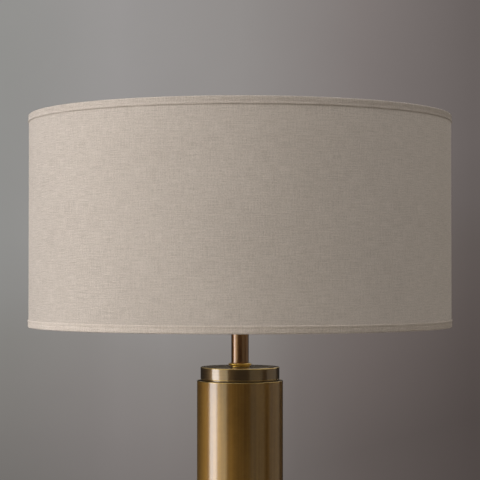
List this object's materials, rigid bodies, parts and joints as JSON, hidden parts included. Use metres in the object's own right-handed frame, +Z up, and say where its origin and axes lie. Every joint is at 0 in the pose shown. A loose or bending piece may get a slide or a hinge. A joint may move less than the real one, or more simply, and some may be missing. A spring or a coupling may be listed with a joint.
{
  "type": "floor lamp",
  "caption": "Column floor lamp: linen drum shade on a harp and screw socket, slim neck, stepped cap, straight brass column, weighted round base.",
  "frame": {"origin": "on the floor, at the centre of the round base", "axes": "+Z up along the column; +X to the right of a viewer who faces the switch knob; +Y to the rear, where the cord leaves the base"},
  "size_m": [0.508, 0.508, 1.5262],
  "materials": {
    "brass": "antique brass, brushed lengthways, lacquered",
    "brass_dark": "antique brass, turned, with bright edges",
    "brass_copper": "antique brass, warmer and darker",
    "cast_iron": "rough casting",
    "zinc_steel": "zinc plated",
    "felt": "black felt",
    "phenolic": "moulded phenolic",
    "insulation": "brown wire insulation",
    "fishpaper": "vulcanised fibre",
    "bulb_metal": "rolled aluminium screw cap",
    "opal_glass": "opal, frosted",
    "styrene": "white styrene liner",
    "linen": "natural linen, plain weave with slubs",
    "linen_trim": "the same linen, folded"
  },
  "bodies": {
    "stand": {"base_cover": "brass", "base_weight": "cast_iron", "felt_pad": "felt", "base_washer": "zinc_steel", "base_lock_washer": "zinc_steel", "base_nut": "zinc_steel", "cord_bushing": "phenolic", "column_foot": "brass_dark", "column_plate_lower": "zinc_steel", "column_tube": "brass", "column_plate_upper": "brass", "column_cap": "brass_dark", "lamp_pipe": "zinc_steel", "supply_cable": "insulation", "lead_left": "insulation", "lead_right": "insulation", "cap_nut": "zinc_steel", "neck_ring": "brass", "neck_tube": "brass_copper", "neck_washer": "brass", "harp_saddle": "brass", "saddle_nut": "zinc_steel", "harp_bow": "brass", "harp_stud": "zinc_steel", "socket_cap": "brass", "socket_shell": "brass", "socket_insulator": "fishpaper", "socket_body": "phenolic", "terminal_screw_left": "brass", "terminal_screw_right": "brass", "screw_shell": "brass", "centre_contact": "brass"},
    "shade": {"shade_spider": "zinc_steel", "shade_bottom_ring": "zinc_steel", "shade_liner": "styrene", "shade_fabric": "linen", "shade_trim_top": "linen_trim", "shade_trim_bottom": "linen_trim"},
    "sleeve_left": {"harp_sleeve_left": "brass"},
    "sleeve_right": {"harp_sleeve_right": "brass"},
    "switch": {"switch_shaft": "brass", "switch_knob": "phenolic"},
    "bulb": {"bulb_glass": "opal_glass"},
    "bulb_cap": {"bulb_base": "bulb_metal", "bulb_contact": "brass"},
    "finial_thread": {"finial_insert": "brass"},
    "finial": {"finial_knob": "brass"}
  },
  "joints": [
    {"name": "shade_turn", "type": "hinge", "parent": "stand", "child": "shade", "pos_m": [0, 0, 1.4971], "axis": [0, 0, 1], "continuous": true},
    {"name": "sleeve_left_lift", "type": "slide", "parent": "stand", "child": "sleeve_left", "axis": [0, 0, 1], "range_m": [0, 0.014]},
    {"name": "sleeve_right_lift", "type": "slide", "parent": "stand", "child": "sleeve_right", "axis": [0, 0, 1], "range_m": [0, 0.014]},
    {"name": "switch_turn", "type": "hinge", "parent": "stand", "child": "switch", "pos_m": [0, -0.0143, 1.3274], "axis": [0, -1, 0], "continuous": true},
    {"name": "bulb_lift", "type": "slide", "parent": "stand", "child": "bulb", "axis": [0, 0, 1], "range_m": [0, 0.01089]},
    {"name": "bulb_turn", "type": "hinge", "parent": "bulb", "child": "bulb_cap", "pos_m": [0, 0, 1.35], "axis": [0, 0, 1], "range_deg": [0, 1080]},
    {"name": "finial_lift", "type": "slide", "parent": "stand", "child": "finial_thread", "axis": [0, 0, 1], "range_m": [0, 0.00752]},
    {"name": "finial_turn", "type": "hinge", "parent": "finial_thread", "child": "finial", "pos_m": [0, 0, 1.516], "axis": [0, 0, 1], "range_deg": [0, 2880]}
  ],
  "couplings": [
    {"joint": "bulb_turn", "follows": "bulb_lift", "rad_per_m": 1731.5},
    {"joint": "finial_turn", "follows": "finial_lift", "rad_per_m": 6679}
  ]
}
